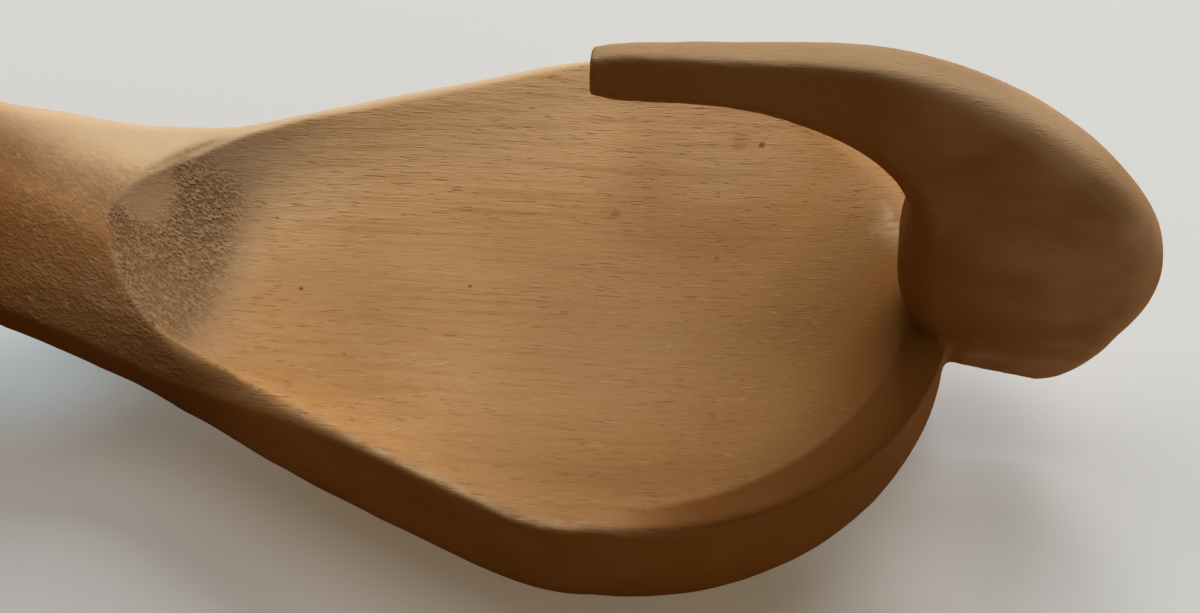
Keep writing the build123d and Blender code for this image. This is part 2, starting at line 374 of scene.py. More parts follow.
@dataclass(frozen=True)
class BlockWood:
    """Bare wood of the block: tones of the fresh, the torn and the hand-darkened surface, and tones of
    painted shade and painted light.
    """

    name: str
    pale: Colour = (0.64, 0.365, 0.155)
    warm: Colour = (0.56, 0.275, 0.095)
    deep: Colour = (0.25, 0.105, 0.028)
    heart: Colour = (0.23, 0.112, 0.034)
    fleck: Colour = (0.15, 0.058, 0.014)
    fibre: Colour = (0.60, 0.40, 0.215)
    # Pale tone of upward faces: partly wear, partly painted light.
    worn_and_lit: Colour = (0.70, 0.50, 0.30)
    end_grain: Colour = (0.30, 0.195, 0.112)
    # Dark tone of the sides: partly handling, partly painted shade.
    handled_and_shaded: Colour = (0.27, 0.083, 0.004)
    torn: Colour = (0.165, 0.078, 0.026)
    # Painted side light: a paler, greyer tone.
    side_light: Colour = (0.54, 0.31, 0.155)
    # Painted shade: creases, the hook's root, the stem's underside and the front rim.
    shaded: Colour = (0.118, 0.034, 0.003)
    sap: Colour = (0.66, 0.41, 0.20)
    shares: Shares = Shares()
    heights: Heights = Heights()
    layers: Triple = (math.radians(-42.0), 0.0, math.radians(-2.9))
    heart_middle: float = -7.0
    heart_width: Span = (33.0, 4.0)
    heart_reach: Span = (-30.0, -2.0)
    heart_growth: float = 0.86
    # Towards the hook the heart's growth also stands for painted shade of the hook.
    heart_core: Span = (8.0, 18.0)
    core_growth: float = 0.12
    sap_reach: Span = (5.0, 19.0)
    sap_fade: Span = (14.0, -8.0)
    streak_kept: Span = (0.42, 0.8)
    fibre_kept: Span = (0.4, 0.7)
    handled_patches: Patchiness = Patchiness(0.75, 0.25)
    worn_patches: Patchiness = Patchiness(0.55, 0.6)
    side_light_patches: Patchiness = Patchiness(0.4, 0.9)
    cloud_kept: Span = (0.3, 0.7)
    pit_cells: Triple = (2.2, 3.8, 3.2)
    pit_depth: Span = (0.1, 0.7)
    sparse_flecks: float = 0.35
    grain_wander: float = 0.4
    wander_cells: Triple = (0.03, 0.07, 0.07)
    grain_lay: float = 0.3
    tear_angle: float = math.radians(26.0)
    roughness: float = 0.62
    fibre_gloss: float = 0.14
    handled_gloss: float = 0.12
    torn_gloss: float = 0.12
    sheen: float = 0.06
    relief: float = 0.09
    bump: float = 0.7
    has_floor: bool = False

    def build(self) -> bpy.types.Material:
        """Make the material.

        Returns:
            The finished material.
        """
        graph = Graph(self.name)
        place = self.place(graph)
        grain = self.grain(graph, place)
        flecks = self.flecks(graph, grain, place)
        slivers = graph.noise(grain, SLIVERS)
        streaks = graph.noise(grain, STREAKS)
        fibres = graph.noise(grain, FIBRES)
        turn = {"Vector": place, "Angle": self.tear_angle}
        tear = graph.add("ShaderNodeVectorRotate", {"rotation_type": "Z_AXIS"}, turn)
        pits = self.pits(graph, tear)
        tufts = graph.noise(tear, TUFTS)
        torn = graph.mask(Mask.TORN)
        # Where sides are darker from handling and painted shade, where painted side light falls and where
        # tops are paler, the grain's lines and bumps fade.
        rubbed = graph.mask(Mask.OUTSIDE).most(graph.mask(Mask.SIDE_LIGHT)).most(graph.mask(Mask.TOP))
        bare = 1.0 - self.shares.rubbed * rubbed

        colour = self.body_colour(graph, place, streaks)
        colour = graph.mix(fibres.between(*self.fibre_kept) * self.shares.fibres, colour, self.deep)
        colour = graph.mix(flecks * self.shares.flecks, colour, self.fleck)
        colour = graph.mix(slivers * bare * self.shares.slivers, colour, self.fibre)
        colour = graph.mix(graph.mask(Mask.HEEL) * self.shares.end_grain, colour, self.end_grain)
        colour = self.handling(graph, colour, place)
        colour = graph.mix(torn * (self.shares.torn - self.shares.pits * pits), colour, self.torn)
        colour = graph.mix(torn * tufts * self.shares.tufts, colour, self.fibre)
        if self.has_floor:
            colour = graph.mix(self.spots(graph, place, FLOOR_SPECKS), colour, self.fleck)

        tall = self.heights
        lines = fibres * tall.fibres + slivers * tall.slivers - flecks * tall.flecks + streaks * tall.streaks
        height = lines * bare + torn * torn * (pits * tall.pits + tufts * tall.tufts)
        raised = {"Strength": self.bump, "Distance": self.relief * MM, "Height": height}
        normal = graph.add("ShaderNodeBump", None, raised)
        gloss = self.roughness + self.fibre_gloss * fibres - self.handled_gloss * graph.mask(Mask.OUTSIDE)
        surface = {
            "Base Color": colour,
            "Roughness": gloss + self.torn_gloss * torn,
            "Normal": normal,
            "Specular IOR Level": self.sheen,
        }
        return graph.finish(graph.add("ShaderNodeBsdfPrincipled", None, surface))

    def place(self, graph: Graph) -> Wire:
        """The surface point in millimetres."""
        point = graph.add("ShaderNodeTexCoord", None, None, "Object")
        return graph.vector("MULTIPLY", point, (PER_MM, PER_MM, PER_MM))

    def grain(self, graph: Graph, place: Wire) -> Wire:
        """The point among the wood's growth layers, which lie aslant in the block and wander slowly.

        Args:
            graph: The node graph.
            place: The point, in millimetres.

        Returns:
            The point in the grain's own space: X along the fibres and Z, which is drawn out, within a layer.
        """
        slow = graph.vector("MULTIPLY", place, self.wander_cells)
        drift = graph.add("ShaderNodeTexNoise", None, {"Vector": slow, "Scale": 1.0, "Detail": 2.0}, "Color")
        centred = graph.vector("SUBTRACT", drift, (0.5, 0.5, 0.5))
        offset = graph.vector("MULTIPLY", centred, (0.0, 2 * self.grain_wander, 2 * self.grain_wander))
        bent = graph.vector("ADD", place, offset)
        turn = {"Vector": bent, "Rotation": self.layers}
        turned = graph.add("ShaderNodeVectorRotate", {"rotation_type": "EULER_XYZ"}, turn)
        return graph.vector("MULTIPLY", turned, (1.0, 1.0, self.grain_lay))

    def flecks(self, graph: Graph, grain: Wire, place: Wire) -> Wire:
        """Short dark pores, thicker in some patches than in others."""
        crowding = self.sparse_flecks + (1.0 - self.sparse_flecks) * graph.noise(place, DASH_PATCHES)
        return graph.noise(grain, DASHES) * crowding

    def pits(self, graph: Graph, tear: Wire) -> Wire:
        """Small pits in slanting rows, where the knife has crossed the grain."""
        cells = graph.vector("MULTIPLY", tear, self.pit_cells)
        holes = graph.add("ShaderNodeTexVoronoi", None, {"Vector": cells, "Scale": 1.0}, "Distance")
        return holes.between(*self.pit_depth) * graph.noise(tear, PIT_ROWS)

    def body_colour(self, graph: Graph, place: Wire, streaks: Wire) -> Wire:
        """The wood's slow changes of tone: blotches, darker heartwood, paler sapwood and streaks, with
        patches in the floor that are partly painted shade and light.

        Args:
            graph: The node graph.
            place: The point, in millimetres.
            streaks: Long streaks along the grain.

        Returns:
            The colour before its flecks.
        """
        colour = graph.mix(graph.noise(place, BLOTCHES), self.pale, self.warm)
        colour = graph.mix(self.heartwood(graph, place), colour, self.heart)
        across = graph.part(place, "Y").between(*self.sap_reach)
        outer = across * graph.part(place, "X").between(*self.sap_fade)
        colour = graph.mix(outer * self.shares.sap, colour, self.sap)
        # Floor patches of darker and paler tone, partly the wood's own and partly painted shade and light.
        if self.has_floor:
            colour = graph.mix(self.spots(graph, place, DARK_PATCHES), colour, self.heart)
            colour = graph.mix(self.spots(graph, place, FAIR_PATCHES), colour, self.sap)
        return graph.mix(streaks.between(*self.streak_kept) * self.shares.streaks, colour, self.deep)

    def heartwood(self, graph: Graph, place: Wire) -> Wire:
        """How much of the darker heart each point is: a band along the middle that grows towards the hook,
        where it also stands for painted shade of the hook.
        """
        along = graph.part(place, "X")
        across = graph.part(place, "Y") - self.heart_middle
        off_middle = graph.add("ShaderNodeMath", {"operation": "ABSOLUTE"}, {0: across})
        core = self.core_growth * along.between(*self.heart_core)
        growth = self.heart_growth * along.between(*self.heart_reach) + core
        return growth * off_middle.between(*self.heart_width)

    def handling(self, graph: Graph, colour: Wire, place: Wire) -> Wire:
        """Darker sides, partly from handling and partly painted shade; pale rubbed edges; paler tops, partly
        rubbed and partly painted light; painted side light and painted shade.

        Args:
            graph: The node graph.
            colour: The colour so far.
            place: The point, in millimetres.

        Returns:
            The colour with its wear.
        """
        shares = self.shares
        cloud = graph.noise(place, CLOUDS)
        patchy = cloud.between(*self.cloud_kept)
        rub = graph.noise(place, RUBBING)
        # Darker sides: partly handling, partly painted shade.
        sides = graph.mask(Mask.OUTSIDE) * self.handled_patches.of(patchy)
        handled_and_shaded_tone = graph.mix(cloud * shares.deepened, self.handled_and_shaded, self.deep)
        colour = graph.mix(sides * shares.handled_and_shaded, colour, handled_and_shaded_tone)
        colour = graph.mix(graph.mask(Mask.EDGE) * rub * shares.edge, colour, self.fibre)
        # Pale fibres on the rim's crest, and a painted highlight on the lip beside the hook's root.
        colour = graph.mix(graph.mask(Mask.RIM) * rub * shares.rim, colour, self.fibre)
        # Paler upward faces: partly wear, partly painted light.
        colour = graph.mix(graph.mask(Mask.TOP) * self.worn_patches.of(cloud), colour, self.worn_and_lit)
        # Painted side light on the hook's far end, bevel and shoulder, and on the wall below it.
        colour = graph.mix(graph.mask(Mask.SIDE_LIGHT) * self.side_light_patches.of(patchy), colour, self.side_light)
        # Painted shade in creases, at the hook's root, under the stem and along the front rim.
        return graph.mix(graph.mask(Mask.PAINTED_SHADE) * shares.crevice, colour, self.shaded)

    def spots(self, graph: Graph, place: Wire, spots: Sequence[Spot]) -> Wire:
        """Round marks in the bowl's floor.

        Args:
            graph: The node graph.
            place: The point, in millimetres.
            spots: The marks.

        Returns:
            How strongly each point is marked, from 0 to 1.
        """
        level = graph.vector("MULTIPLY", place, (1.0, 1.0, 0.0))
        outer, inner = SPOT_EDGE
        dots: list[Wire] = []
        for spot in spots:
            ends = {0: level, 1: (spot.x, spot.y, 0.0)}
            reach = graph.add("ShaderNodeVectorMath", {"operation": "DISTANCE"}, ends, "Value")
            dots.append(reach.between(spot.radius * outer, spot.radius * inner) * spot.strength)
        on_floor = graph.part(place, "Z").between(FLOOR_TOP + FLOOR_FADE, FLOOR_TOP)
        return functools.reduce(Wire.most, dots) * on_floor


@dataclass(frozen=True)
class Patch:
    """A soft patch of light or shade on the table, in metres."""

    middle: Triple
    stretch: Triple
    reach: Span
    tone: Colour

    def share(self, graph: Graph, point: Wire) -> Wire:
        """How much of the patch each point is."""
        offset = graph.vector("MULTIPLY", graph.vector("SUBTRACT", point, self.middle), self.stretch)
        distance = graph.add("ShaderNodeVectorMath", {"operation": "LENGTH"}, {0: offset}, "Value")
        return distance.between(*self.reach)


# Painted shadows and painted pools of light on the table, as glow that only the camera sees: the spoon's
# broad shadow, a darker corner, a lighter spot, the hook's shadow, a pool of light under the stem and a shade
# further right.
TABLE_PATCHES = (
    Patch((-0.007, -0.025, 0.0), (0.45, 1.0, 1.0), (0.038, 0.008), (0.150, 0.106, 0.062)),
    Patch((-0.044, -0.031, 0.0), (0.7, 1.0, 1.0), (0.020, 0.003), (0.030, 0.018, 0.005)),
    Patch((0.030, -0.014, 0.0), (0.8, 1.0, 1.0), (0.015, 0.003), (0.285, 0.255, 0.215)),
    Patch((0.028, 0.000, 0.0), (0.8, 1.0, 1.0), (0.009, 0.001), (0.075, 0.068, 0.060)),
    Patch((-0.051, -0.004, 0.0), (0.8, 1.2, 1.0), (0.013, 0.001), (0.340, 0.370, 0.380)),
    Patch((0.050, -0.014, 0.0), (0.7, 0.7, 1.0), (0.020, 0.006), (0.170, 0.160, 0.145)),
)


@dataclass(frozen=True)
class TableTop:
    """The pale surface that the spoon lies on, with painted shadows and pools of light that only the camera
    sees.
    """

    name: str = "pale_table"
    tone: Colour = (0.46, 0.46, 0.45)
    bounce: Colour = (0.40, 0.26, 0.13)
    haze: Colour = (0.225, 0.217, 0.200)
    half_side: float = 2.5
    roughness: float = 0.8
    sheen: float = 0.1

    def build(self) -> bpy.types.Object:
        """Lay the floor under the spoon.

        Returns:
            The floor's object.
        """
        deselect()
        bpy.ops.mesh.primitive_plane_add(size=2 * self.half_side)
        floor = bpy.context.active_object
        floor.name = self.name
        graph = Graph(self.name)
        seen = graph.add("ShaderNodeLightPath", None, None, "Is Camera Ray")
        point = graph.add("ShaderNodeTexCoord", None, None, "Object")
        # An even glow that only the camera sees, with painted shadows and pools of light mixed into it.
        light: Value = self.haze
        for patch in TABLE_PATCHES:
            light = graph.mix(patch.share(graph, point), light, patch.tone)
        shader = graph.add(
            "ShaderNodeBsdfPrincipled",
            None,
            {
                "Base Color": graph.mix(seen, self.bounce, self.tone),
                "Roughness": self.roughness,
                "Specular IOR Level": self.sheen,
                "Emission Color": light,
                "Emission Strength": seen,
            },
        )
        floor.data.materials.append(graph.finish(shader))
        return floor


# Working a mesh


def deselect() -> None:
    """Leave edit mode if it is on, and select nothing."""
    if bpy.context.mode != "OBJECT":
        bpy.ops.object.mode_set(mode="OBJECT")
    bpy.ops.object.select_all(action="DESELECT")


def take_up(piece: bpy.types.Object) -> None:
    """Make one object the only one selected, and active."""
    deselect()
    piece.select_set(True)
    bpy.context.view_layer.objects.active = piece


def work(piece: bpy.types.Object, kind: str, settings: Mapping[str, object]) -> None:
    """Add one modifier and apply it.

    Args:
        piece: The object that is worked.
        kind: The modifier's type.
        settings: The modifier's properties.
    """
    take_up(piece)
    modifier = piece.modifiers.new(kind.lower(), kind)
    for key, setting in settings.items():
        setattr(modifier, key, setting)
    bpy.ops.object.modifier_apply(modifier=modifier.name)


@dataclass(frozen=True)
class Fade:
    """A smooth step: 0 at start and 1 at end, which may lie below start."""

    start: float
    end: float

    def __call__(self, values: np.ndarray) -> np.ndarray:
        """The step's share, from 0 to 1, at each value."""
        share = np.clip((values - self.start) / (self.end - self.start), 0.0, 1.0)
        return share * share * (3.0 - 2.0 * share)


@dataclass(frozen=True)
class Relief:
    """One kind of tool mark, in millimetres.

    cell is the size of one mark along X, Y and Z, and depth the height from its lowest to its highest point.
    level is the share of the relief that lies at the old surface. At 1 nothing stands proud.
    """

    texture: Texture
    cell: Triple
    depth: float
    level: float = 1.0


HEEL_TEARS = Relief(Texture.RIPPLES, (0.9, 0.9, 0.9), 0.16)
STEM_CUTS = Relief(Texture.SCALLOPS, (7.0, 5.0, 5.0), 0.36)
HOOK_CUTS = Relief(Texture.SCALLOPS, (6.5, 6.5, 6.5), 0.16)
GOUGE_STROKES = Relief(Texture.RIPPLES, (45.0, 4.0, 9.0), 0.08)
UNEVEN_SIDES = Relief(Texture.RIPPLES, (9.0, 6.0, 6.0), 0.2, 0.9)


@dataclass
class Surface:
    """A mesh's points in millimetres, with their normals and how sharply they stand out."""

    points: np.ndarray
    normals: np.ndarray
    convexity: np.ndarray

    @classmethod
    def read(cls, piece: bpy.types.Object, passes: int = 2) -> "Surface":
        """Measure a mesh.

        Args:
            piece: The object whose mesh is read.
            passes: How often the convexity is averaged with its neighbours.

        Returns:
            The measured surface.
        """
        mesh = piece.data
        count = len(mesh.vertices)
        points = np.empty(count * 3)
        normals = np.empty(count * 3)
        edges = np.empty(len(mesh.edges) * 2, dtype=np.int64)
        mesh.vertices.foreach_get("co", points)
        mesh.vertex_normals.foreach_get("vector", normals)
        mesh.edges.foreach_get("vertices", edges)
        points = points.reshape(-1, 3) * PER_MM
        normals = normals.reshape(-1, 3)
        ends = edges.reshape(-1, 2)
        links = np.bincount(ends.ravel(), minlength=count).clip(1)

        def neighbours(values: np.ndarray) -> np.ndarray:
            total = np.zeros_like(values)
            np.add.at(total, ends[:, 0], values[ends[:, 1]])
            np.add.at(total, ends[:, 1], values[ends[:, 0]])
            return total / (links[:, None] if values.ndim > 1 else links)

        spacing = np.linalg.norm(points[ends[:, 0]] - points[ends[:, 1]], axis=1).mean()
        convexity = ((points - neighbours(points)) * normals).sum(axis=1) / spacing
        for _ in range(passes):
            convexity = 0.5 * convexity + 0.5 * neighbours(convexity)
        return cls(points, normals, convexity)


def write_mask(piece: bpy.types.Object, name: Mask, values: np.ndarray) -> None:
    """Store one point attribute on a mesh."""
    attribute = piece.data.attributes.new(name.value, "FLOAT", "POINT")
    attribute.data.foreach_set("value", np.ascontiguousarray(values, dtype=np.float32))


def weigh(piece: bpy.types.Object, weights: np.ndarray) -> None:
    """Give a mesh one vertex group that holds these weights, in even steps."""
    group = piece.vertex_groups.new(name=GROUP)
    steps = np.round(weights * WEIGHT_STEPS).astype(int)
    for step in range(1, WEIGHT_STEPS + 1):
        chosen = np.flatnonzero(steps == step)
        if len(chosen):
            group.add(chosen.tolist(), step / WEIGHT_STEPS, "REPLACE")


def press(piece: bpy.types.Object, relief: Relief, weights: np.ndarray) -> None:
    """Press a relief into a mesh, along its normals.

    Args:
        piece: The object that is marked.
        relief: The marks.
        weights: How strongly each point is marked, from 0 to 1.
    """
    weigh(piece, weights)
    pattern = bpy.data.textures.new("marks", relief.texture.value)
    pattern.noise_scale = 1.0
    ruler = bpy.data.objects.new("mark_size", None)
    ruler.scale = [side * MM for side in relief.cell]
    bpy.context.scene.collection.objects.link(ruler)
    bpy.context.view_layer.update()
    settings = {
        "texture": pattern,
        "texture_coords": "OBJECT",
        "texture_coords_object": ruler,
        "strength": relief.depth * MM,
        "mid_level": relief.level,
        "vertex_group": GROUP,
    }
    work(piece, "DISPLACE", settings)
    piece.vertex_groups.clear()
    bpy.data.objects.remove(ruler)
    bpy.data.textures.remove(pattern)


# Pieces of the spoon


@dataclass
class CarvedPiece:
    """One solid of the spoon, roughed out again as a fine mesh that a knife has gone over."""

    node: str
    body: str
    wood: bpy.types.Material
    voxel: float = 0.25
    sanding: int = 4
    kept_share: float = 1.0
    facet: float = 2.6
    facet_depth: float = 0.12
    sanding_force: float = 0.5
    weld: float = 0.001
    edge_wear: Fade = Fade(0.05, 0.22)
    # Creases take painted shade.
    creasing: Fade = Fade(0.08, 0.3)
    crease_share: float = 0.4
    handled_share: float = 0.35

    def rough_out(self) -> bpy.types.Object:
        """Copy the solid's mesh, close it, and give it even, softened faces.

        Returns:
            The new object.
        """
        solid = frame["nodes"][self.node]
        piece = bpy.data.objects.new(f"carved_{self.node}", solid.data.copy())
        piece.data.materials.clear()
        bpy.context.scene.collection.objects.link(piece)
        take_up(piece)
        bpy.ops.object.mode_set(mode="EDIT")
        bpy.ops.mesh.select_all(action="SELECT")
        bpy.ops.mesh.remove_doubles(threshold=self.weld * MM)
        bpy.ops.object.mode_set(mode="OBJECT")
        work(piece, "REMESH", {"mode": "VOXEL", "voxel_size": self.voxel * MM, "use_smooth_shade": True})
        work(piece, "SMOOTH", {"factor": self.sanding_force, "iterations": self.sanding})
        return piece

    def thin(self, piece: bpy.types.Object) -> None:
        """Drop the faces that a flat stretch doesn't need."""
        if self.kept_share < 1.0:
            work(piece, "DECIMATE", {"ratio": self.kept_share})

    def mark(self, piece: bpy.types.Object) -> None:
        """Go over the piece with a knife: small flat cuts all round, none standing proud."""
        everywhere = np.ones(len(piece.data.vertices))
        cell = (self.facet, self.facet, self.facet)
        press(piece, Relief(Texture.SCALLOPS, cell, self.facet_depth), everywhere)

    def masks(self, surface: Surface) -> dict[Mask, np.ndarray]:
        """Tell the wood where this piece has wear, and where shade is painted into its creases.

        Args:
            surface: The measured mesh.

        Returns:
            A value from 0 to 1 for each point and mask.
        """
        blank = np.zeros(len(surface.points))
        masks = {mask: blank for mask in Mask}
        masks[Mask.EDGE] = self.edge_wear(surface.convexity)
        # Painted shade in the mesh's creases.
        masks[Mask.PAINTED_SHADE] = self.crease_share * self.creasing(-surface.convexity)
        masks[Mask.OUTSIDE] = self.handled_share + blank
        return masks

    def dress(self, piece: bpy.types.Object) -> None:
        """Give the piece its wood and hand it to the body that carries it."""
        for mask, values in self.masks(Surface.read(piece)).items():
            write_mask(piece, mask, values)
        piece.data.materials.append(self.wood)
        take_up(piece)
        bpy.ops.object.shade_smooth()
        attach(piece, self.body)
        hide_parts(self.node)

    def make(self) -> bpy.types.Object:
        """Build the piece from rough block to finish.

        Returns:
            The finished object.
        """
        piece = self.rough_out()
        self.mark(piece)
        self.thin(piece)
        self.dress(piece)
        log.info("%s: %d faces", piece.name, len(piece.data.polygons))
        return piece


@dataclass(frozen=True)
class StemWear:
    """Wear and painted shade on the neck, stem and handle. Fades run along X or Y in millimetres, or over the
    normal's rise.
    """

    near: Fade = Fade(8.0, 1.0)
    # The stem's near side is darkened: partly handling, partly painted shade.
    held: float = 0.42
    neck: Fade = Fade(-48.0, -43.0)
    neck_less: float = 0.26
    grip: Fade = Fade(-46.0, -51.0)
    grip_more: float = 0.3
    palm: Fade = Fade(2.0, -4.0)
    palm_share: float = 0.4
    grain_side: Fade = Fade(-5.0, 1.0)
    grain_share: float = 0.8
    tear_rise: Fade = Fade(0.1, 0.5)
    tear_reach: Fade = Fade(-62.0, -44.0)
    tear_share: float = 0.6
    # Painted shade on the stem's underside and towards its end.
    underside: Fade = Fade(-0.5, -5.5)
    under_share: float = 0.75
    dark_end: Fade = Fade(-45.0, -50.0)
    end_share: float = 0.4


@dataclass(frozen=True)
class RimWear:
    """Wear, painted shade and painted light on the bowl's rim and walls. Fades run over places in
    millimetres, or over the normal's rise.
    """

    # The front rim below the hook is darkened: partly handling, partly painted shade.
    front: Fade = Fade(0.0, 9.0)
    front_side: Fade = Fade(3.0, -2.0)
    front_edge: Fade = Fade(1.3, 0.3)
    front_share: float = 0.9
    # A painted shade band along the front floor's edge.
    band_rise: Fade = Fade(0.15, 0.5)
    band_share: float = 0.72
    # Painted light on the wall's right end.
    wall: Fade = Fade(12.0, 22.0)
    wall_rise: Fade = Fade(0.4, 0.1)
    wall_share: float = 0.14
    # The far rim's upward faces are paler: partly wear, partly painted light.
    far: Fade = Fade(12.0, 4.0)
    far_side: Fade = Fade(4.0, 8.0)
    far_rise: Fade = Fade(0.4, 0.8)
    crest: Fade = Fade(1.4, 0.3)
    crest_rise: Fade = Fade(0.5, 0.8)
    crest_back: Fade = Fade(-44.0, -40.0)
    crest_front: Fade = Fade(4.0, -4.0)
    soft_edge: Fade = Fade(0.0, 8.0)
    floor: Fade = Fade(-27.0, -37.0)
    floor_share: float = 0.45


@dataclass(frozen=True)
class HookWear:
    """Wear, painted shade and painted light on the hook and at its root. Fades run along X or Z in
    millimetres, or over the normal's rise.
    """

    # The hook's far end takes painted light: less dark and paler.
    fair: Fade = Fade(21.0, 36.0)
    fair_share: float = 0.2
    fair_rise: Fade = Fade(0.1, 0.5)
    rise_share: float = 0.5
    # Painted side light on the hook's faces.
    dusk: float = 0.08
    fair_dusk: float = 0.74
    dusk_rise: Fade = Fade(0.85, 0.5)
    # Painted bounce light on the hook's lower bevel.
    bevel: Fade = Fade(13.0, 10.0)
    bevel_rise: Fade = Fade(0.3, 0.0)
    bevel_share: float = 0.95
    # Painted light on the hook's shoulder.
    shoulder: Fade = Fade(14.0, 27.0)
    shoulder_foot: Fade = Fade(0.02, 0.3)
    shoulder_top: Fade = Fade(0.9, 0.6)
    shoulder_share: float = 0.7
    # The hook's upward faces are paler: partly wear, partly painted light.
    top: float = 0.4
    fair_top: float = 0.2
    # Painted shade on the floor at the hook's root.
    root_middle: Span = (25.0, -5.0)
    root_squash: float = 0.8
    root: Fade = Fade(14.0, 4.0)
    root_painted_shade: float = 0.6
    root_dark: float = 0.4
    # A painted highlight on the floor's lip beside the hook's root.
    lip_middle: Span = (20.4, 8.4)
    lip_half: Span = (2.0, 3.6)
    lip: Fade = Fade(1.0, 0.2)
    lip_share: float = 0.22


@dataclass
class Zones:
    """The body's points, the rise of their normals, and how much of each part of the body they are."""

    x: np.ndarray
    y: np.ndarray
    z: np.ndarray
    rise: np.ndarray
    heel: np.ndarray
    stem: np.ndarray
    hook: np.ndarray
    hollow: np.ndarray
    inset: np.ndarray


@dataclass
class SpoonBody(CarvedPiece):
    """The bowl, hook, stem, arch and cage in one. Places are millimetres in the spoon's frame."""

    voxel: float = 0.34
    sanding: int = 1
    kept_share: float = 0.38
    floor_passes: int = 90
    rim_height: float = 13.7
    hollow_tip: float = -40.9
    tip_length: float = 10.0
    hollow_flank: Span = (26.3, 0.44)
    hollow_front: Span = (-2.1, 23.8)
    hollow_edge: float = 0.3
    hollow_rise: Fade = Fade(0.2, 0.45)
    hollow_top: Fade = Fade(2.6, 2.0)
    heel_slope: Fade = Fade(0.08, 0.3)
    heel_reach: Fade = Fade(-25.0, -35.0)
    tear_reach: Fade = Fade(-30.5, -34.0)
    tear_side: Fade = Fade(11.0, 6.0)
    gouge_middle: Span = (-39.7, 4.6)
    gouge_squash: float = 0.6
    gouge_cut: Fade = Fade(3.0, 1.5)
    gouge_share: float = 0.85
    calm_edge: float = 1.2
    calm_reach: Fade = Fade(-29.0, -23.0)
    hook_height: Fade = Fade(0.8, 2.5)
    hook_back: Fade = Fade(-7.0, -4.0)
    hook_front: Fade = Fade(25.5, 27.0)
    stem_reach: Fade = Fade(-26.0, -34.0)
    top_rise: Fade = Fade(0.5, 0.85)
    side_rise: Fade = Fade(0.6, 0.1)
    on_stem: StemWear = StemWear()
    on_rim: RimWear = RimWear()
    on_hook: HookWear = HookWear()

    def inset(self, surface: Surface) -> np.ndarray:
        """How far inside the hollow's edge each point lies in plan, in millimetres, below 0 outside it."""
        x, y, _ = surface.points.T
        base, lean = self.hollow_flank
        tip = np.clip((x - self.hollow_tip) / self.tip_length, 0.0, 1.0)
        flank = (base + lean * x) * np.sqrt(1.0 - (1.0 - tip) ** 2)
        centre, radius = self.hollow_front
        front = np.sqrt(np.clip(radius**2 - np.maximum(x - centre, 0.0) ** 2, 0.0, None))
        return np.minimum(flank, front) - np.abs(y)

    def hollow(self, surface: Surface, soft: float) -> np.ndarray:
        """How much of the bowl's hollow each point is.

        Args:
            surface: The measured mesh.
            soft: Half the width of the fade across the hollow's edge, in millimetres.

        Returns:
            1 inside the hollow's edge and 0 outside it.
        """
        inside = Fade(-soft, soft)(self.inset(surface))
        low = self.hollow_top(surface.points[:, 2] - self.rim_height)
        return inside * self.hollow_rise(surface.normals[:, 2]) * low

    def hook(self, surface: Surface) -> np.ndarray:
        """How much of the hook each point is."""
        x, _, z = surface.points.T
        above = self.hook_height(z - self.rim_height) * self.hook_back(x)
        return np.maximum(above, self.hook_front(x))

    def zones(self, surface: Surface) -> Zones:
        """Tell the parts of the body apart.

        Args:
            surface: The measured mesh.

        Returns:
            The parts, each from 0 to 1 at each point.
        """
        x, y, z = surface.points.T
        hollow = self.hollow(surface, self.hollow_edge)
        heel = self.heel_slope(surface.normals[:, 0]) * hollow * self.heel_reach(x)
        stem = self.stem_reach(x) * (1.0 - hollow)
        hook = self.hook(surface)
        return Zones(x, y, z, surface.normals[:, 2], heel, stem, hook, hollow, self.inset(surface))

    def torn_heel(self, zones: Zones) -> np.ndarray:
        """How torn the heel is: rough all over but for one smooth gouge cut."""
        x, y = self.gouge_middle
        smooth = self.gouge_cut(np.hypot(zones.x - x, (zones.y - y) * self.gouge_squash))
        rough = zones.heel * (1.0 - self.gouge_share * smooth)
        return rough * self.tear_side(zones.y) * self.tear_reach(zones.x)

    def mark(self, piece: bpy.types.Object) -> None:
        """Cut the knife's facets on stem and hook, the gouge's strokes in the bowl and uneven sides."""
        surface = Surface.read(piece)
        zones = self.zones(surface)
        calm = self.hollow(surface, self.calm_edge) * self.calm_reach(zones.x) * (1.0 - zones.hook)
        weigh(piece, calm)
        settings = {"factor": self.sanding_force, "iterations": self.floor_passes, "vertex_group": GROUP}
        work(piece, "SMOOTH", settings)
        piece.vertex_groups.clear()
        press(piece, HEEL_TEARS, self.torn_heel(zones))
        press(piece, STEM_CUTS, zones.stem)
        press(piece, HOOK_CUTS, zones.hook)
        press(piece, GOUGE_STROKES, zones.hollow)
        press(piece, UNEVEN_SIDES, (1.0 - zones.hollow) * (1.0 - zones.stem) * (1.0 - zones.hook))

    def front_wall(self, zones: Zones) -> np.ndarray:
        """How much of the bowl's near front, below the hook, each point is."""
        return (1.0 - zones.hook) * self.on_rim.front(zones.x) * self.on_rim.front_side(zones.y)

    def root(self, zones: Zones) -> np.ndarray:
        """How near the hook's root each point of the floor is."""
        x, y = self.on_hook.root_middle
        distance = np.hypot(zones.x - x, self.on_hook.root_squash * (zones.y - y))
        return zones.hollow * self.on_hook.root(distance)

    def lip(self, zones: Zones) -> np.ndarray:
        """How much of the lip beside the hook's root each point is, where a highlight is painted."""
        x, y = self.on_hook.lip_middle
        long, wide = self.on_hook.lip_half
        return zones.hollow * self.on_hook.lip(np.hypot((zones.x - x) / long, (zones.y - y) / wide))

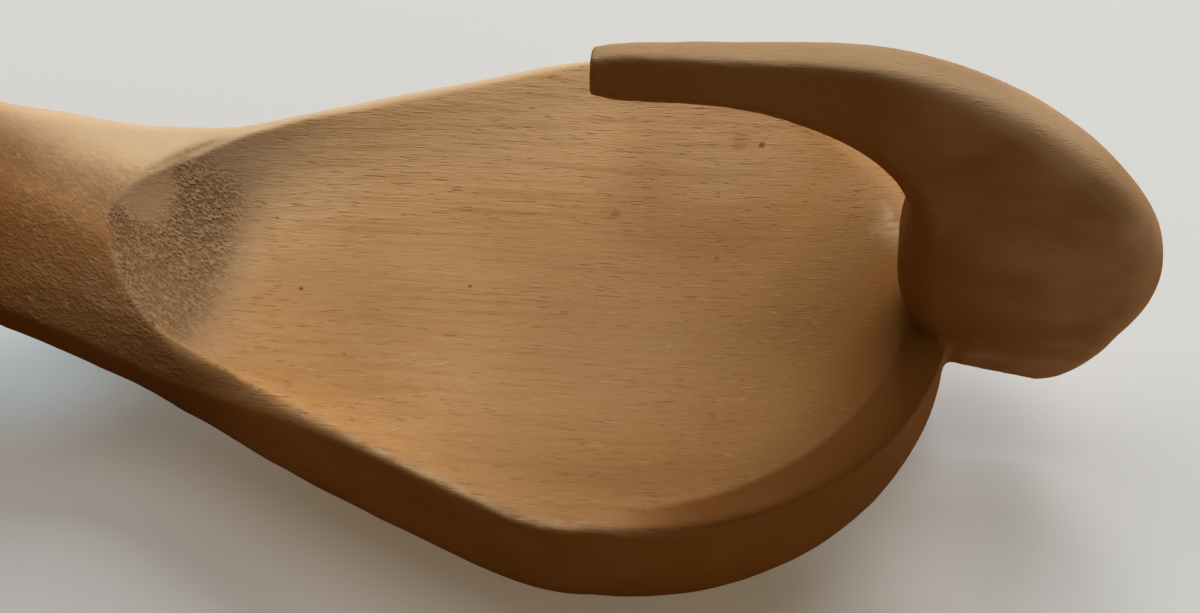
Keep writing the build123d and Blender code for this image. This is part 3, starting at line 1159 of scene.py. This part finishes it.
    def handled_and_shaded(self, zones: Zones) -> np.ndarray:
        """How dark each point is, partly from handling and partly painted shade."""
        wear, rim, hook = self.on_stem, self.on_rim, self.on_hook
        front_rim = self.front_wall(zones) * rim.front_edge(zones.inset)
        held = wear.held - wear.neck_less * wear.neck(zones.x) + wear.grip_more * wear.grip(zones.x)
        grip = zones.stem * (held * wear.near(zones.y) + wear.palm_share * wear.palm(zones.y))
        parts = [
            # Sides that face sideways or down, the front rim, the stem's near side and the hook's root are
            # darkened: partly handling, partly painted shade.
            self.side_rise(zones.rise),
            rim.front_share * front_rim,
            grip,
            hook.root_painted_shade * self.root(zones),
        ]
        # Less dark on the hook's far end, where painted light falls.
        fair = zones.hook * hook.fair(zones.x)
        kept = 1.0 - fair * (hook.fair_share + hook.rise_share * hook.fair_rise(zones.rise))
        return np.maximum.reduce(parts) * (1.0 - zones.heel) * kept

    def side_light(self, zones: Zones) -> np.ndarray:
        """How much painted side light each point of the hook and of the wall below it takes, in a paler,
        greyer tone.
        """
        hook, rim = self.on_hook, self.on_rim
        fair = zones.hook * hook.fair(zones.x)
        shoulder = hook.shoulder_share * zones.hook * hook.shoulder(zones.x)
        wall = rim.wall_share * self.front_wall(zones) * rim.wall(zones.x)
        parts = [
            (hook.dusk * zones.hook + hook.fair_dusk * fair) * hook.dusk_rise(zones.rise),
            hook.bevel_share * (zones.hook * hook.bevel(zones.z) * hook.bevel_rise(zones.rise)),
            shoulder * hook.shoulder_foot(zones.rise) * hook.shoulder_top(zones.rise),
            wall * rim.wall_rise(zones.rise),
        ]
        return np.maximum.reduce(parts)

    def shaded(self, zones: Zones, creases: np.ndarray) -> np.ndarray:
        """How much painted shade each point takes: creases, the hook's root, the stem's underside and the
        front rim.

        Args:
            zones: The parts of the body.
            creases: The mesh's own creases.

        Returns:
            A share from 0 to 1 for each point.
        """
        wear, rim = self.on_stem, self.on_rim
        dark_end = wear.end_share * wear.near(zones.y) * wear.dark_end(zones.x)
        front_rim = self.front_wall(zones) * rim.front_edge(zones.inset)
        parts = [
            creases * (1.0 - zones.stem),
            self.on_hook.root_dark * self.root(zones),
            zones.stem * np.maximum(wear.under_share * wear.underside(zones.y), dark_end),
            rim.band_share * (front_rim * rim.band_rise(zones.rise)),
        ]
        return np.maximum.reduce(parts)

    def worn_top(self, zones: Zones) -> np.ndarray:
        """How much each point that faces up is paler: partly rubbed, partly painted light."""
        rim, hook = self.on_rim, self.on_hook
        far_rim = (1.0 - zones.hollow) * rim.far_side(zones.y) * rim.far(zones.x) * rim.far_rise(zones.rise)
        fair = zones.hook * hook.fair(zones.x)
        parts = [
            zones.stem * (1.0 - self.on_stem.near(zones.y)),
            far_rim,
            (hook.top + hook.fair_top * fair) * zones.hook,
        ]
        tops = np.maximum.reduce(parts) * self.top_rise(zones.rise)
        return np.maximum(tops, hook.lip_share * self.lip(zones))

    def masks(self, surface: Surface) -> dict[Mask, np.ndarray]:
        """Tell the wood where the body is torn, rubbed and darkened by handling, and where shade and light
        are painted.

        Args:
            surface: The measured mesh.

        Returns:
            A value from 0 to 1 for each point and mask.
        """
        masks = super().masks(surface)
        zones = self.zones(surface)
        wear, rim = self.on_stem, self.on_rim
        near_stem = zones.stem * wear.near(zones.y)
        floor_fade = rim.floor_share * zones.hollow * rim.floor(zones.x)
        stem_grain = wear.grain_share * near_stem * wear.grain_side(zones.y)
        stem_tears = wear.tear_share * near_stem * wear.tear_rise(zones.rise) * wear.tear_reach(zones.x)
        crest = rim.crest(np.abs(zones.z - self.rim_height)) * rim.crest_rise(zones.rise)
        crest = crest * (1.0 - zones.hollow) * rim.crest_back(zones.x) * rim.crest_front(zones.x)
        masks[Mask.HEEL] = np.maximum.reduce([zones.heel, floor_fade, stem_grain])
        masks[Mask.TORN] = np.maximum(self.torn_heel(zones), stem_tears)
        masks[Mask.OUTSIDE] = self.handled_and_shaded(zones)
        masks[Mask.SIDE_LIGHT] = self.side_light(zones)
        masks[Mask.PAINTED_SHADE] = self.shaded(zones, masks[Mask.PAINTED_SHADE])
        masks[Mask.TOP] = self.worn_top(zones)
        masks[Mask.RIM] = np.maximum(crest, self.lip(zones))
        masks[Mask.EDGE] = masks[Mask.EDGE] * (1.0 - rim.soft_edge(zones.x) * (1.0 - zones.hook))
        return masks


LOOSE_CUTS = {
    "cage_ball": {"voxel": 0.3, "facet": 3.4, "facet_depth": 0.16},
    "chain_link": {"voxel": 0.24, "facet": 2.4, "facet_depth": 0.1},
    "hanging_heart": {"voxel": 0.32, "facet": 4.0, "facet_depth": 0.14},
}


class Spoon:
    """The whole love spoon."""

    def __init__(self) -> None:
        """Choose the wood for each kind of piece."""
        self.body_wood = BlockWood("carved_wood", has_floor=True).build()
        self.loose_wood = BlockWood("loose_carved_wood", relief=0.07).build()

    def pieces(self) -> list[CarvedPiece]:
        """The pieces in the order of the spoon, from the bowl to the heart."""
        found: list[CarvedPiece] = []
        for body, nodes in frame["record"]["behaviour"]["bodies"].items():
            node = nodes[0]
            if node == BODY_NODE:
                found.append(SpoonBody(node, body, self.body_wood))
                continue
            cuts = next(cuts for kind, cuts in LOOSE_CUTS.items() if node.startswith(kind))
            found.append(CarvedPiece(node, body, self.loose_wood, **cuts))
        return found

    def make(self) -> None:
        """Carve every piece."""
        for piece in self.pieces():
            piece.make()


# Camera and light


@dataclass(frozen=True)
class Viewpoint:
    """A camera that looks down across the bowl, in millimetres."""

    stand: Triple = (12.26, -116.61, 140.03)
    facing: Triple = (-0.0826, 0.6630, -0.7440)
    lens: float = 66.8
    sensor: float = 36.0
    nearest: float = 5.0

    def build(self) -> bpy.types.Object:
        """Set up the camera and make it the scene's own.

        Returns:
            The camera.
        """
        lens = bpy.data.cameras.new("table_view")
        lens.lens = self.lens
        lens.sensor_width = self.sensor
        lens.clip_start = self.nearest * MM
        camera = bpy.data.objects.new("table_view", lens)
        camera.location = Vector(self.stand) * MM
        camera.rotation_euler = Vector(self.facing).to_track_quat("-Z", "Y").to_euler()
        bpy.context.scene.collection.objects.link(camera)
        bpy.context.scene.camera = camera
        return camera


@dataclass(frozen=True)
class SoftLamp:
    """A large soft lamp that faces the bowl. Places and sides are metres."""

    name: str
    stand: Triple
    width: float
    height: float
    power: float
    tint: Colour = (1.0, 1.0, 1.0)
    target: Triple = (0.0, 0.0, 0.01)

    def build(self) -> bpy.types.Object:
        """Hang the lamp.

        Returns:
            The lamp's object.
        """
        lamp = bpy.data.lights.new(self.name, "AREA")
        lamp.shape = "RECTANGLE"
        lamp.size = self.width
        lamp.size_y = self.height
        lamp.energy = self.power
        lamp.color = self.tint
        holder = bpy.data.objects.new(self.name, lamp)
        holder.location = self.stand
        aim = Vector(self.target) - Vector(self.stand)
        holder.rotation_euler = aim.to_track_quat("-Z", "Y").to_euler()
        bpy.context.scene.collection.objects.link(holder)
        return holder


ROOM_LAMPS = (
    SoftLamp("far_window", (0.14, 0.74, 0.74), 0.55, 0.4, 8.4),
    SoftLamp("pale_ceiling", (-0.10, 0.25, 1.00), 1.0, 0.7, 4.5),
    SoftLamp("side_room", (0.90, -0.35, 0.35), 0.8, 0.5, 1.2),
)


@dataclass(frozen=True)
class Studio:
    """The light around the spoon: a far window, a pale ceiling, a lit side room and an even, dim glow."""

    room_tone: Colour = (1.0, 0.99, 0.97)
    room_strength: float = 0.08

    def build(self) -> None:
        """Light the room and hang its lamps."""
        world = bpy.data.worlds.new("dim_room")
        world.use_nodes = True
        backdrop = world.node_tree.nodes["Background"]
        backdrop.inputs["Color"].default_value = opaque(self.room_tone)
        backdrop.inputs["Strength"].default_value = self.room_strength
        bpy.context.scene.world = world
        bpy.context.scene.view_settings.view_transform = "Standard"
        for lamp in ROOM_LAMPS:
            lamp.build()


def main() -> None:
    """Carve the spoon, lay it on the table, and set the light and the view."""
    logging.basicConfig(level=logging.INFO)
    Spoon().make()
    TableTop().build()
    Studio().build()
    Viewpoint().build()


if __name__ == "__main__":
    main()
